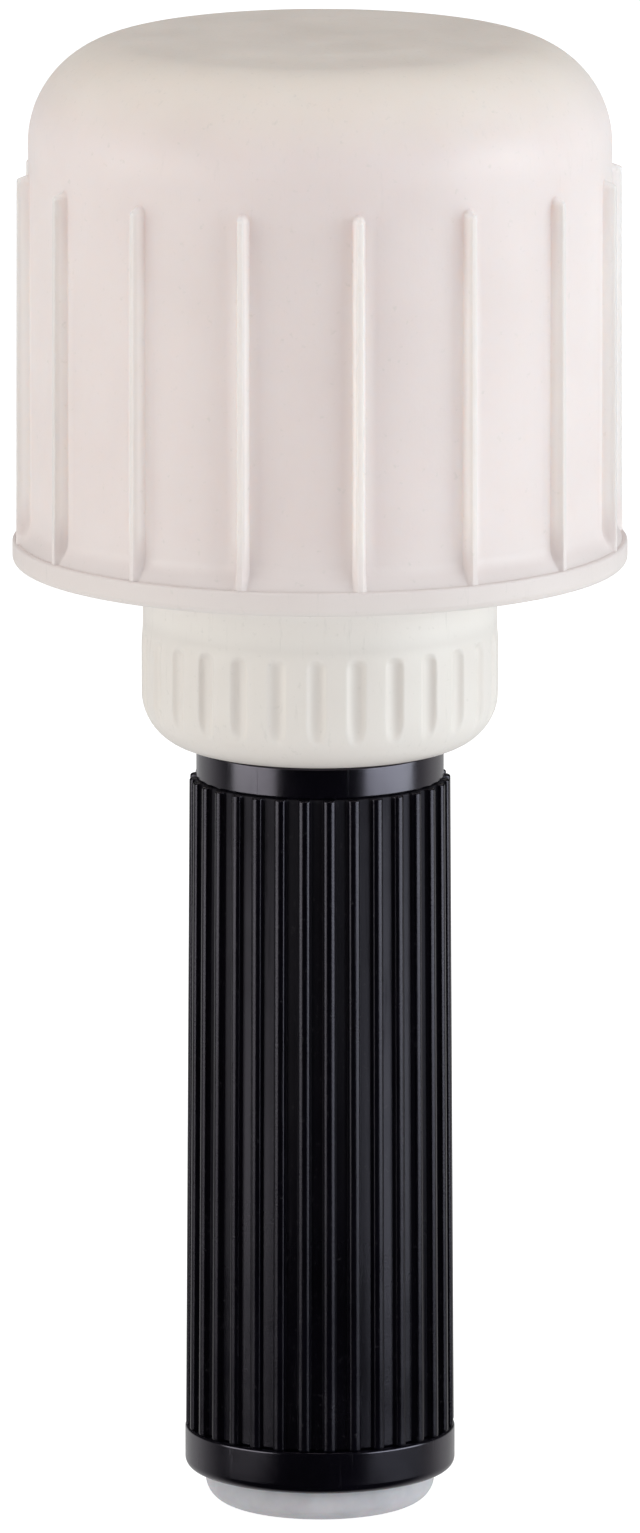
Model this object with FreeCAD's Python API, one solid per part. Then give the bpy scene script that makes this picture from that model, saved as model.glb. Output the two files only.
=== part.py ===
import FreeCAD
import Part
import math
import os

# In-line soft-faced mallet, standing on its end plug: ribbed grip below, screwed union collar, finned head on top.
# Millimetres. +Z runs along the tool's axis from the end plug to the striking face, and the origin is the middle
# of the plug's foot. Angles of ribs, fins and flutes are measured about +Z from the tool's front, which is -Y.
# Each piece that comes off on a bench has a function of its own, and its file carries the piece's name.

# ---- Driving dimensions: heights up the axis ----
RING_BOTTOM_Z = 5.1
GRIP_BOTTOM_Z = 11.5
GRIP_TOP_Z = 108.8
BAND_TOP_Z = 113.5
FERRULE_TOP_Z = 123.0
SEAT_Z = 125.0
COLLAR_TOP_Z = 132.2
RIM_BOTTOM_Z = 140.9
RIM_TOP_Z = 144.5
FIN_TOP_Z = 199.2
CROWN_Z = 218.6

# ---- Driving dimensions: outer radii that show ----
PLUG_R = 16.9
PLUG_EDGE_R = 3.6
END_RING_R = 19.9
END_RING_EDGE_R = 1.45
GRIP_BOTTOM_R = 19.85
GRIP_TOP_R = 19.2
BAND_R = 18.15
COLLAR_R = 26.15
COLLAR_EDGE_R = 8.0
NECK_R = 25.95
NECK_FILLET_R = 5.0
RIM_R = 45.0
BODY_R = 42.55
CROWN_EDGE_R = 17.2

# ---- Repeated features ----
RIB_COUNT = 32
RIB_PHASE = 4.2
RIB_DEPTH = 1.05
RIB_GROOVE_WIDTH = 1.9
FIN_COUNT = 16
FIN_PHASE = 7.5
FIN_WIDTH = 1.5
FIN_BOTTOM_R = 44.75
FIN_TOP_R = 44.5
FIN_END_SLOPE = 1.0
FLARE_R = 44.0
FLARE_HEIGHT = 2.4
FLUTE_COUNT = 28
FLUTE_PHASE = -1.1
FLUTE_TOOL_R = 1.6
FLUTE_DEPTH = 0.75
FLUTE_TOP_Z = 131.4
SCREW_COUNT = 8
SCREW_CIRCLE_R = 39.5

# ---- Union thread: three turns of the collar lift the head clear ----
THREAD_R = 17.0
THREAD_PITCH = 2.5
THREAD_TURNS = 3
THREAD_CHAMFER = 0.8
HEAD_LIFT = THREAD_PITCH * THREAD_TURNS

# ---- Fits and small edges ----
RUNNING_FIT = 0.08
SLIDING_FIT = 0.06
LOCATING_FIT = 0.05
FACE_GAP = 0.2
SMALL_EDGE_R = 0.4
RIM_EDGE_R = 1.0
TOLERANCE = 1e-4

# ---- Hidden structure ----
TUBE_R = 15.0
TUBE_BORE_R = 13.0
ROD_R = 4.0
ROD_HOLE_R = ROD_R + 0.1
ROD_END_Z = 6.5
KEY_FLATS = 18.0
KEY_TOP_Z = 160.0
BUSH_BOTTOM_Z = 55.0
BUSH_LENGTH = 10.0
COUPLING_DEPTH = 10.0
WEB_THICKNESS = 4.0
NUT_RECESS_TOP_Z = 18.0
NUT_RECESS_R = 11.0
WASHER_THICKNESS = 1.6
WASHER_R = 10.4
SPRING_WASHER_THICKNESS = 2.0
SPRING_WASHER_R = 7.0
SPRING_WASHER_SPLIT = 1.2
NUT_FLATS = 13.0
NUT_HEIGHT = 6.4
PLUG_SPIGOT_R = 10.9
PLUG_SPIGOT_BORE_R = 8.3
PLUG_SPIGOT_TOP_Z = 12.6
SEAL_RING_Z = 9.5
SEAL_RING_SECTION_R = 0.85
HUB_R = 20.0
CIRCLIP_BOTTOM_Z = 126.5
CIRCLIP_THICKNESS = 1.5
CIRCLIP_INNER_R = 18.8
CIRCLIP_OUTER_R = 21.6
CIRCLIP_GAP = 8.0
COLLAR_LIP_Z = 128.1
COLLAR_CAVITY_R = 22.0
INSERT_R = 20.0
INSERT_BOTTOM_Z = 115.4
INSERT_TOP_Z = 124.4
SLIP_WASHER_R = 24.6
SLIP_WASHER_BOTTOM_Z = 132.3
SLIP_WASHER_TOP_Z = 133.05
GASKET_R = 16.0
GASKET_BORE_R = 10.6
SOCKET_R = 14.0
SOCKET_BORE_TOP_Z = 163.0
SOCKET_TOP_Z = 168.0
SOCKET_FLANGE_R = 19.0
SOCKET_FLANGE_THICKNESS = 3.0
CAVITY_R = 36.5
CAVITY_TOP_Z = 204.8
CAVITY_EDGE_R = 12.0
BASE_SPIGOT_TOP_Z = 149.5
SCREW_HEAD_R = 2.8
SCREW_HEAD_HEIGHT = 1.8
SCREW_SHANK_R = 1.6
SCREW_TOP_Z = 158.0
DRIVE_SLOT_WIDTH = 0.9
DRIVE_SLOT_DEPTH = 0.9


# ---- Geometry helpers ----
def on_axis(height):
    return FreeCAD.Vector(0, 0, height)


def cylinder(radius, bottom, top):
    return Part.makeCylinder(radius, top - bottom, on_axis(bottom))


def tube(outer, inner, bottom, top):
    return cylinder(outer, bottom, top).cut(cylinder(inner, bottom, top))


def hexagon_bar(across_flats, bottom, top):
    corner_r = across_flats / math.sqrt(3)
    corners = []
    for side in range(7):
        angle = math.radians(60 * side)
        corners.append(FreeCAD.Vector(corner_r * math.cos(angle), corner_r * math.sin(angle), bottom))
    return Part.Face(Part.makePolygon(corners)).extrude(on_axis(top - bottom))


def rims_at(shape, radius, height):
    """The circular edges about the axis with that radius, at that height."""
    found = []
    for edge in shape.Edges:
        curve = edge.Curve
        if not isinstance(curve, Part.Circle):
            continue
        if abs(curve.Radius - radius) < TOLERANCE and abs(curve.Center.z - height) < TOLERANCE:
            found.append(edge)
    return found


def rounded(shape, fillet_r, radius, height):
    return shape.makeFillet(fillet_r, rims_at(shape, radius, height))


def chamfered(shape, size, radius, height):
    return shape.makeChamfer(size, rims_at(shape, radius, height))


def turned_to(shape, degrees_from_front):
    """A copy of a shape that was made on the +X side, swung round to that angle from the front."""
    copy = shape.copy()
    copy.rotate(on_axis(0), on_axis(1), degrees_from_front - 90)
    return copy


def ring_of(shape, count, phase):
    return [turned_to(shape, phase + 360.0 * step / count) for step in range(count)]


def tapered_bar(inner_bottom_r, inner_top_r, outer_bottom_r, outer_top_r, width, bottom, top):
    """A straight-sided bar along the axis on the +X side, whose inner and outer faces both lean."""
    frames = []
    for inner, outer, height in ((inner_bottom_r, outer_bottom_r, bottom), (inner_top_r, outer_top_r, top)):
        corners = [
            FreeCAD.Vector(inner, -width / 2, height),
            FreeCAD.Vector(outer, -width / 2, height),
            FreeCAD.Vector(outer, width / 2, height),
            FreeCAD.Vector(inner, width / 2, height),
        ]
        frames.append(Part.makePolygon(corners + corners[:1]))
    return Part.makeLoft(frames, True, True)


# ---- Handle ----
def end_plug():
    """Push-in plug that closes the grip and is the tool's foot."""
    cap = rounded(cylinder(PLUG_R, 0, RING_BOTTOM_Z), PLUG_EDGE_R, PLUG_R, 0)
    spigot = tube(PLUG_SPIGOT_R, PLUG_SPIGOT_BORE_R, RING_BOTTOM_Z, PLUG_SPIGOT_TOP_Z)
    groove_floor_r = NUT_RECESS_R - 2 * SEAL_RING_SECTION_R
    groove_bottom = SEAL_RING_Z - SEAL_RING_SECTION_R
    groove_top = SEAL_RING_Z + SEAL_RING_SECTION_R
    return cap.fuse(spigot).cut(tube(NUT_RECESS_R, groove_floor_r, groove_bottom, groove_top))


def plug_seal_ring():
    """Rubber ring that grips the plug's spigot in the end ring."""
    return Part.makeTorus(NUT_RECESS_R - SEAL_RING_SECTION_R, SEAL_RING_SECTION_R, on_axis(SEAL_RING_Z))


def end_ring():
    """Lower band of the handle, with a sleeve up into the tube and a web that the rod pulls on."""
    web_top = NUT_RECESS_TOP_Z + WEB_THICKNESS
    band = rounded(cylinder(END_RING_R, RING_BOTTOM_Z, GRIP_BOTTOM_Z), END_RING_EDGE_R, END_RING_R, RING_BOTTOM_Z)
    band = rounded(band, SMALL_EDGE_R, END_RING_R, GRIP_BOTTOM_Z)
    sleeve = cylinder(TUBE_BORE_R - LOCATING_FIT, GRIP_BOTTOM_Z, web_top)
    recess = cylinder(NUT_RECESS_R, RING_BOTTOM_Z, NUT_RECESS_TOP_Z)
    return band.fuse(sleeve).cut(recess).cut(cylinder(ROD_HOLE_R, RING_BOTTOM_Z, web_top))


def handle_tube():
    return tube(TUBE_R, TUBE_BORE_R, GRIP_BOTTOM_Z, GRIP_TOP_Z)


def grip_sleeve():
    """Ribbed sleeve over the tube: a slight cone with straight grooves along it."""
    height = GRIP_TOP_Z - GRIP_BOTTOM_Z
    cone = Part.makeCone(GRIP_BOTTOM_R, GRIP_TOP_R, height, on_axis(GRIP_BOTTOM_Z))
    body = cone.cut(cylinder(TUBE_R, GRIP_BOTTOM_Z, GRIP_TOP_Z))
    groove = tapered_bar(
        GRIP_BOTTOM_R - RIB_DEPTH,
        GRIP_TOP_R - RIB_DEPTH,
        GRIP_BOTTOM_R + RIB_DEPTH,
        GRIP_TOP_R + RIB_DEPTH,
        RIB_GROOVE_WIDTH,
        GRIP_BOTTOM_Z,
        GRIP_TOP_Z,
    )
    half_pitch = 180.0 / RIB_COUNT
    return body.cut(ring_of(groove, RIB_COUNT, RIB_PHASE + half_pitch))


def threaded_ferrule():
    """Upper band of the handle and, above it, the male half of the union. The thread is a plain cylinder."""
    band = cylinder(BAND_R, GRIP_TOP_Z, BAND_TOP_Z)
    for height in (GRIP_TOP_Z, BAND_TOP_Z):
        band = rounded(band, SMALL_EDGE_R, BAND_R, height)
    thread = chamfered(cylinder(THREAD_R, BAND_TOP_Z, FERRULE_TOP_Z), THREAD_CHAMFER, THREAD_R, FERRULE_TOP_Z)
    sleeve = cylinder(TUBE_BORE_R - LOCATING_FIT, GRIP_TOP_Z - COUPLING_DEPTH, GRIP_TOP_Z)
    bore = cylinder(ROD_HOLE_R, GRIP_TOP_Z - COUPLING_DEPTH, FERRULE_TOP_Z)
    return band.fuse([thread, sleeve]).cut(bore)


def centre_rod():
    """Steel rod that clamps the handle together and ends in the hexagon that carries the head."""
    shank = chamfered(cylinder(ROD_R, ROD_END_Z, FERRULE_TOP_Z), SMALL_EDGE_R, ROD_R, ROD_END_Z)
    return shank.fuse(hexagon_bar(KEY_FLATS, FERRULE_TOP_Z, KEY_TOP_Z))


def rod_bush():
    return tube(TUBE_BORE_R - LOCATING_FIT, ROD_HOLE_R, BUSH_BOTTOM_Z, BUSH_BOTTOM_Z + BUSH_LENGTH)


def rod_washer():
    return tube(WASHER_R, ROD_HOLE_R, NUT_RECESS_TOP_Z - WASHER_THICKNESS, NUT_RECESS_TOP_Z)


def spring_washer_top():
    return NUT_RECESS_TOP_Z - WASHER_THICKNESS


def rod_nut_top():
    return spring_washer_top() - SPRING_WASHER_THICKNESS


def spring_washer():
    """Split lock washer between the plain washer and the nut."""
    ring = tube(SPRING_WASHER_R, ROD_HOLE_R, rod_nut_top(), spring_washer_top())
    corner = FreeCAD.Vector(0, -SPRING_WASHER_SPLIT / 2, rod_nut_top())
    return ring.cut(Part.makeBox(SPRING_WASHER_R, SPRING_WASHER_SPLIT, SPRING_WASHER_THICKNESS, corner))


def rod_nut():
    bottom = rod_nut_top() - NUT_HEIGHT
    return hexagon_bar(NUT_FLATS, bottom, rod_nut_top()).cut(cylinder(ROD_R, bottom, rod_nut_top()))


def seat_gasket():
    """Rubber washer that the head is pulled down on."""
    return tube(GASKET_R, GASKET_BORE_R, FERRULE_TOP_Z, SEAT_Z)


# ---- Collar ----
def collar_nut():
    """Fluted hand nut. A lip at its top turns on the head's hub, above the circlip that keeps it there."""
    bottom = BAND_TOP_Z + FACE_GAP
    outside = rounded(cylinder(COLLAR_R, bottom, FLUTE_TOP_Z), COLLAR_EDGE_R, COLLAR_R, bottom)
    outside = chamfered(outside, COLLAR_R - NECK_R, COLLAR_R, FLUTE_TOP_Z)
    outside = outside.fuse(cylinder(NECK_R, FLUTE_TOP_Z, COLLAR_TOP_Z))
    flute = Part.makeCylinder(
        FLUTE_TOOL_R,
        FLUTE_TOP_Z - bottom,
        FreeCAD.Vector(COLLAR_R - FLUTE_DEPTH + FLUTE_TOOL_R, 0, bottom),
    )
    outside = outside.cut(ring_of(flute, FLUTE_COUNT, FLUTE_PHASE))
    hollow = [
        cylinder(THREAD_R + FACE_GAP, bottom, INSERT_BOTTOM_Z),
        cylinder(INSERT_R, INSERT_BOTTOM_Z, INSERT_TOP_Z),
        cylinder(COLLAR_CAVITY_R, INSERT_TOP_Z, COLLAR_LIP_Z),
        cylinder(HUB_R + RUNNING_FIT, COLLAR_LIP_Z, COLLAR_TOP_Z),
    ]
    return outside.cut(hollow)


def thread_insert():
    """Brass female half of the union. The thread is a plain bore with a running clearance on the ferrule."""
    return tube(INSERT_R, THREAD_R + RUNNING_FIT, INSERT_BOTTOM_Z, INSERT_TOP_Z)


# ---- Head ----
def screw_axes(shape):
    return ring_of(shape, SCREW_COUNT, FIN_PHASE + 180.0 / FIN_COUNT)


def at_screw_circle(radius, bottom, top):
    return Part.makeCylinder(radius, top - bottom, FreeCAD.Vector(SCREW_CIRCLE_R, 0, bottom))


def screw_body():
    head = at_screw_circle(SCREW_HEAD_R, RIM_BOTTOM_Z, RIM_BOTTOM_Z + SCREW_HEAD_HEIGHT)
    return head.fuse(at_screw_circle(SCREW_SHANK_R, RIM_BOTTOM_Z + SCREW_HEAD_HEIGHT, SCREW_TOP_Z))


def base_screws():
    """Slotted screws that hold the shell to the base, with heads flush in the rim's underside."""
    corner = FreeCAD.Vector(SCREW_CIRCLE_R - SCREW_HEAD_R, -DRIVE_SLOT_WIDTH / 2, RIM_BOTTOM_Z)
    slot = Part.makeBox(2 * SCREW_HEAD_R, DRIVE_SLOT_WIDTH, DRIVE_SLOT_DEPTH, corner)
    return Part.makeCompound(screw_axes(screw_body().cut(slot)))


def head_base():
    """Rim, neck and hub in one moulding: the floor of the head, which the collar pulls down."""
    rim = cylinder(RIM_R, RIM_BOTTOM_Z, RIM_TOP_Z)
    for height in (RIM_BOTTOM_Z, RIM_TOP_Z):
        rim = rounded(rim, RIM_EDGE_R, RIM_R, height)
    body = rim.fuse(cylinder(NECK_R, COLLAR_TOP_Z + FACE_GAP, RIM_BOTTOM_Z))
    body = rounded(body, NECK_FILLET_R, NECK_R, RIM_BOTTOM_Z)
    hub = cylinder(HUB_R, SEAT_Z, RIM_BOTTOM_Z)
    spigot = cylinder(CAVITY_R - LOCATING_FIT, RIM_TOP_Z, BASE_SPIGOT_TOP_Z)
    cuts = [
        tube(SLIP_WASHER_R, HUB_R, COLLAR_TOP_Z, SLIP_WASHER_TOP_Z),
        tube(HUB_R, CIRCLIP_INNER_R, CIRCLIP_BOTTOM_Z, CIRCLIP_BOTTOM_Z + CIRCLIP_THICKNESS),
        cylinder(SOCKET_R, SEAT_Z, BASE_SPIGOT_TOP_Z),
    ]
    return body.fuse([hub, spigot]).cut(cuts + screw_axes(screw_body()))


def slip_washer():
    """Thin washer that the collar's lip turns against."""
    return tube(SLIP_WASHER_R, HUB_R, SLIP_WASHER_BOTTOM_Z, SLIP_WASHER_TOP_Z)


def retaining_circlip():
    """Open ring in the hub's groove that keeps the collar on the head."""
    ring = tube(CIRCLIP_OUTER_R, CIRCLIP_INNER_R, CIRCLIP_BOTTOM_Z, CIRCLIP_BOTTOM_Z + CIRCLIP_THICKNESS)
    corner = FreeCAD.Vector(0, -CIRCLIP_GAP / 2, CIRCLIP_BOTTOM_Z)
    return ring.cut(Part.makeBox(CIRCLIP_OUTER_R, CIRCLIP_GAP, CIRCLIP_THICKNESS, corner))


def key_socket():
    """Steel cup with the hexagonal bore that slides on the rod's key."""
    cup = cylinder(SOCKET_R, SEAT_Z, SOCKET_TOP_Z)
    flange = cylinder(SOCKET_FLANGE_R, BASE_SPIGOT_TOP_Z, BASE_SPIGOT_TOP_Z + SOCKET_FLANGE_THICKNESS)
    bore = hexagon_bar(KEY_FLATS + 2 * SLIDING_FIT, SEAT_Z, SOCKET_BORE_TOP_Z)
    return cup.fuse(flange).cut(bore)


def head_core():
    """Hard filling of the shell, which carries the blow from the face down to the socket."""
    core_r = CAVITY_R - LOCATING_FIT
    core = rounded(cylinder(core_r, BASE_SPIGOT_TOP_Z, CAVITY_TOP_Z), CAVITY_EDGE_R, core_r, CAVITY_TOP_Z)
    flange_seat = cylinder(SOCKET_FLANGE_R, BASE_SPIGOT_TOP_Z, BASE_SPIGOT_TOP_Z + SOCKET_FLANGE_THICKNESS)
    return core.cut([flange_seat, cylinder(SOCKET_R, BASE_SPIGOT_TOP_Z, SOCKET_TOP_Z)])


def shell_fin():
    """One upright fin on the +X side, rooted inside the wall and sloped off at its top end."""
    root_r = BODY_R - FIN_WIDTH
    lower_top = FIN_TOP_Z - FIN_END_SLOPE
    lower = tapered_bar(root_r, root_r, FIN_BOTTOM_R, FIN_TOP_R, FIN_WIDTH, RIM_TOP_Z, lower_top)
    sloped = tapered_bar(root_r, root_r, FIN_TOP_R, BODY_R, FIN_WIDTH, lower_top, FIN_TOP_Z)
    return lower.fuse(sloped)


def head_shell():
    """Soft finned cap with the flat striking face, flaring a little to meet the rim."""
    outside = rounded(cylinder(BODY_R, RIM_TOP_Z, CROWN_Z), CROWN_EDGE_R, BODY_R, CROWN_Z)
    flare = Part.makeCone(FLARE_R, BODY_R, FLARE_HEIGHT, on_axis(RIM_TOP_Z))
    outside = outside.fuse([flare] + ring_of(shell_fin(), FIN_COUNT, FIN_PHASE))
    hollow = rounded(cylinder(CAVITY_R, RIM_TOP_Z, CAVITY_TOP_Z), CAVITY_EDGE_R, CAVITY_R, CAVITY_TOP_Z)
    pilot_holes = screw_axes(at_screw_circle(SCREW_SHANK_R, RIM_TOP_Z, SCREW_TOP_Z))
    return outside.cut([hollow] + pilot_holes)


PIECES = {
    "end_plug": end_plug,
    "plug_seal_ring": plug_seal_ring,
    "end_ring": end_ring,
    "handle_tube": handle_tube,
    "grip_sleeve": grip_sleeve,
    "threaded_ferrule": threaded_ferrule,
    "centre_rod": centre_rod,
    "rod_bush": rod_bush,
    "rod_washer": rod_washer,
    "spring_washer": spring_washer,
    "rod_nut": rod_nut,
    "seat_gasket": seat_gasket,
    "collar_nut": collar_nut,
    "thread_insert": thread_insert,
    "head_base": head_base,
    "slip_washer": slip_washer,
    "retaining_circlip": retaining_circlip,
    "key_socket": key_socket,
    "head_core": head_core,
    "head_shell": head_shell,
    "base_screws": base_screws,
}


def main():
    os.makedirs("parts", exist_ok=True)
    for name, build in PIECES.items():
        shape = build()
        shape.exportStep("parts/" + name + ".step")
        print(name, "solids", len(shape.Solids), "valid", shape.isValid(), "volume", round(shape.Volume))
    print("head lift", HEAD_LIFT)


main()
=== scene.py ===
# In-line soft-faced mallet: the looks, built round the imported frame.
# Metres, in the frame's own axes: +Z up the tool from the foot to the striking face, -Y its front.
# Angles about the tool are measured from the front, anticlockwise seen from above.
import math

import bmesh
import bpy
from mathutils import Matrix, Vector


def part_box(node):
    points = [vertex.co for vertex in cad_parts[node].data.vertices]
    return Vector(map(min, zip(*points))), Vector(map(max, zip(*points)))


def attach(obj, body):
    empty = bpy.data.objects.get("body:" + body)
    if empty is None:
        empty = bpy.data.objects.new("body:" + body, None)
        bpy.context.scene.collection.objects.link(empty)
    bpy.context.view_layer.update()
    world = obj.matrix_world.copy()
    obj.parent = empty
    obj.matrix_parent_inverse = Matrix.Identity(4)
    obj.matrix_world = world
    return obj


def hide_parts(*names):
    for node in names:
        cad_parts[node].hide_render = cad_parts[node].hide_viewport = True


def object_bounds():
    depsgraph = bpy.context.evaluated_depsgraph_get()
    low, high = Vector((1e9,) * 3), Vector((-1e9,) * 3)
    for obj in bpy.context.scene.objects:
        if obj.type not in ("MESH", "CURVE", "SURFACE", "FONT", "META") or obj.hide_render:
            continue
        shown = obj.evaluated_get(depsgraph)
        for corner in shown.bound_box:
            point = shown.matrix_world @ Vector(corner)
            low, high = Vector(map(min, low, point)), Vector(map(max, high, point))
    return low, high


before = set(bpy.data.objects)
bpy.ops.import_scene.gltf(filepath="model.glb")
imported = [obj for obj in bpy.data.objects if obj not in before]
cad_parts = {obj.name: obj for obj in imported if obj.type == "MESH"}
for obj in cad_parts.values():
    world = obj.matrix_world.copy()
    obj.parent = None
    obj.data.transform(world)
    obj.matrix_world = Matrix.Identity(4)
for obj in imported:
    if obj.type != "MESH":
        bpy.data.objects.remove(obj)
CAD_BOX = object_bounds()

MM = 0.001
FULL_TURN = 2 * math.pi

# ---- Heights and radii taken from the frame ----
SHELL_LOW, SHELL_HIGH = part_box("head_shell")
BASE_LOW, BASE_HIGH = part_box("head_base")
COLLAR_LOW, COLLAR_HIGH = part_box("collar_nut")
FERRULE_LOW, FERRULE_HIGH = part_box("threaded_ferrule")
GRIP_LOW, GRIP_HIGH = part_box("grip_sleeve")
RING_LOW, RING_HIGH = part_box("end_ring")
PLUG_LOW, PLUG_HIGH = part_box("end_plug")
INSERT_LOW, INSERT_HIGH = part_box("thread_insert")
TUBE_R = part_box("handle_tube")[1].x

# ---- Sizes that a box can't give ----
BODY_R = 42.55 * MM
CROWN_EDGE_R = 15.2 * MM
FACE_FLAT_R = 17.5 * MM
FACE_FALL = 1.2 * MM
FACE_CURVE_R = 60.0 * MM
CAVITY_R = 36.5 * MM
CAVITY_TOP_Z = 204.8 * MM
CAVITY_EDGE_R = 12.0 * MM
FIN_COUNT = 16
FIN_PHASE = math.radians(7.5)
FIN_WIDTH = 1.3 * MM
FIN_BOTTOM_R = 44.7 * MM
FIN_TOP_R = 44.45 * MM
FIN_TOP_Z = 199.2 * MM
FIN_FLANK = 0.36 * MM
FIN_FOOT_HALF_WIDTH = 2.8 * MM
FIN_FOOT_SHARE = 0.08
FIN_TIP_SQUASH = 0.75
FLARE_R = 44.2 * MM
FLARE_HEIGHT = 2.4 * MM
FLARE_CURVE_R = 4.0 * MM
RIM_THICKNESS = 3.6 * MM
RIM_BOTTOM_EDGE_R = 1.1 * MM
RIM_TOP_EDGE_R = 0.45 * MM
NECK_R = 25.95 * MM
NECK_FILLET_R = 5.0 * MM
HUB_R = 20.0 * MM
SOCKET_R = 14.0 * MM
CIRCLIP_GROOVE = (18.8 * MM, 126.5 * MM, 128.0 * MM)  # radius, and the heights of its two sides
WASHER_RECESS = (24.6 * MM, 133.05 * MM)  # radius, and the height of its roof
SCREW_COUNT = 8
SCREW_CIRCLE_R = 39.5 * MM
SCREW_HOLE_R = 1.65 * MM
SCREW_HOLE_DEPTH = 4.0 * MM
SCREW_HEAD_HOLE_R = 2.95 * MM
SCREW_HEAD_HOLE_DEPTH = 1.8 * MM
CUTTER_START = 1.0 * MM
COLLAR_MOUTH_R = 17.2 * MM
COLLAR_LIP_R = 20.08 * MM
COLLAR_LIP_Z = 128.1 * MM
COLLAR_CAVITY_R = 22.0 * MM
COLLAR_EDGE_R = 8.0 * MM
SHOULDER_HEIGHT = 2.0 * MM
SHOULDER_CURVE_R = 12.0 * MM
FLUTE_COUNT = 28
FLUTE_PHASE = math.radians(-1.1)
FLUTE_TOOL_R = 1.6 * MM
FLUTE_DEPTH = 0.75 * MM
FLUTE_TOP_Z = 131.4 * MM
FLUTE_EDGE = 0.25 * MM
FLUTE_FADE = 1.5 * MM
RIB_COUNT = 32
RIB_PHASE = math.radians(4.2)
RIB_DEPTH = 1.05 * MM
RIB_HALF_WIDTH = 0.93 * MM
RIB_CREST_R = 1.1 * MM
RIB_EDGE = 0.3 * MM
GRIP_BOTTOM_R = 19.84 * MM
GRIP_TOP_R = 19.19 * MM
GRIP_EDGE_R = 0.35 * MM
SMALL_EDGE_R = 0.4 * MM
TUBE_SLEEVE_R = 12.95 * MM
ROD_HOLE_R = 4.1 * MM
NUT_RECESS_R = 11.0 * MM
NUT_RECESS_TOP_Z = 18.0 * MM
RING_EDGE_R = 1.45 * MM
THREAD_R = 17.0 * MM
THREAD_DEPTH = 1.1 * MM
THREAD_PITCH = 2.5 * MM
THREAD_FLAT = 0.12
THREAD_RUN_OUT = 0.6 * MM
THREAD_CLEARANCE = 0.08 * MM
INSERT_THREAD_DEPTH = 0.8 * MM
THREAD_TOP_Z = FERRULE_HIGH.z
BAND_TOP_Z = 113.5 * MM
PLUG_EDGE_R = 3.6 * MM
PLUG_SPIGOT_R = 10.9 * MM
PLUG_BORE_R = 8.3 * MM
SEAL_GROOVE = (9.3 * MM, 8.65 * MM, 10.35 * MM)  # radius, and the heights of its two sides
GATE_DIMPLE_R = 1.4 * MM
GATE_DIMPLE_DEPTH = 0.35 * MM
ON_THE_WALL = 0.2 * MM

# ---- Studio ----
SOFTBOX_DISTANCE = 1.1
SOFTBOX_HEIGHT = 0.72
SOFTBOX_MIDDLE_Z = 0.20
MATT_SKY_LOW = 0.0
MATT_SKY_TOP = 1.08
GLOSSY_SKY_FRONT = 0.01
GLOSSY_SKY_BEHIND = 0.6
GLOSSY_SKY_OVERHEAD = 0.05
GLOSSY_SKY_DEPTH_Y = (0.0, 0.6)  # a direction's Y, from the front's strength to the back's
GLOSSY_SKY_HORIZON_Z = (-0.05, 0.12)  # a direction's Z, from full strength to the overhead share
FLOOR_HALF_SIZE = 3.0
FLOOR_GLOW_SEEN = 0.85
FLOOR_GLOW_CAST = 0.38

# ---- How finely the meshes are cut: the longest stretch along an outline, and the steps round a turn ----
COARSE_STRETCH = 4.0 * MM
GRIP_STRETCH = 8.0 * MM
COLLAR_STRETCH = 0.7 * MM
TIP_STRETCH = 0.22 * MM
INSERT_STRETCH = 0.2 * MM
THREAD_STRETCH = 0.16 * MM
TURN_STEPS = 192
RIM_TURN_STEPS = 256
INSERT_TURN_STEPS = 144
HOLE_TURN_STEPS = 32
SHARP_OVER = math.radians(38)

# ---- Camera, read from the photo's perspective ----
CAMERA_ELEVATION = math.radians(11.29)
CAMERA_DISTANCE = 2.508
CAMERA_AIM_Z = 0.1102
CAMERA_LENS = 401.7
CAMERA_SENSOR = 36

# ---- Heights between which the milky mouldings change their tint, their cloudiness, their scuffs, and their painted light and shade ----
CREAMY_COLLAR_Z = (134 * MM, 146 * MM)
CREAMY_FACE_Z = (207 * MM, 217 * MM)
NECK_START_Z = (132 * MM, 138 * MM)
NECK_END_Z = (140.7 * MM, 141.7 * MM)
CLOUDY_HEAD_Z = (SHELL_LOW.z + FLARE_HEIGHT, 152 * MM)
ABOVE_FLARE_Z = (SHELL_LOW.z + FLARE_HEIGHT, SHELL_LOW.z + FLARE_HEIGHT + 5 * MM)
FIN_FADE_Z = (FIN_TOP_Z - 14 * MM, FIN_TOP_Z)
SCUFFED_FROM_Z = 190 * MM

# ---- Radii between which a fin's flank and its crest begin and end, bounding the painted light on the flanks and the painted shade on the crests ----
FIN_FOOT_BAND = (BODY_R + 0.01 * MM, BODY_R + 0.15 * MM)
FIN_FLANK_BAND = (BODY_R + 1.0 * MM, BODY_R + 1.9 * MM)
FIN_CREST_BAND = (BODY_R + 1.2 * MM, BODY_R + 1.9 * MM)

# ---- How strongly those places differ from the rest: painted light on the fin flanks and the neck, painted shade on the fin crests and the rim, and the cloudiness ----
FIN_FLANK_PAINTED_LIGHT = 0.4
FIN_CREST_PAINTED_SHADE = 0.45
NECK_PAINTED_LIGHT = 0.45
RIM_PAINTED_SHADE = 0.25
CLEAR_MOULDING = 0.1
CLOUDY_HEAD = 0.85


# =====================================================================
# Turned shapes
# =====================================================================
def outline(corners, steps=6):
    """A loop of (radius, height) points through corners (radius, height, rounding), each corner an arc."""
    points = []
    for index, (radius, height, rounding) in enumerate(corners):
        here = Vector((radius, height))
        if rounding == 0:
            points.append((radius, height))
            continue
        to_last = (Vector(corners[index - 1][:2]) - here).normalized()
        to_next = (Vector(corners[(index + 1) % len(corners)][:2]) - here).normalized()
        half_angle = to_last.angle(to_next) / 2
        centre = here + (to_last + to_next).normalized() * rounding / math.sin(half_angle)
        reach = rounding / math.tan(half_angle)
        start = here + to_last * reach - centre
        turn = start.angle_signed(here + to_next * reach - centre)
        for step in range(steps + 1):
            angle = -turn * step / steps
            across = start.x * math.cos(angle) - start.y * math.sin(angle)
            along = start.x * math.sin(angle) + start.y * math.cos(angle)
            points.append((centre.x + across, centre.y + along))
    return points


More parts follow.
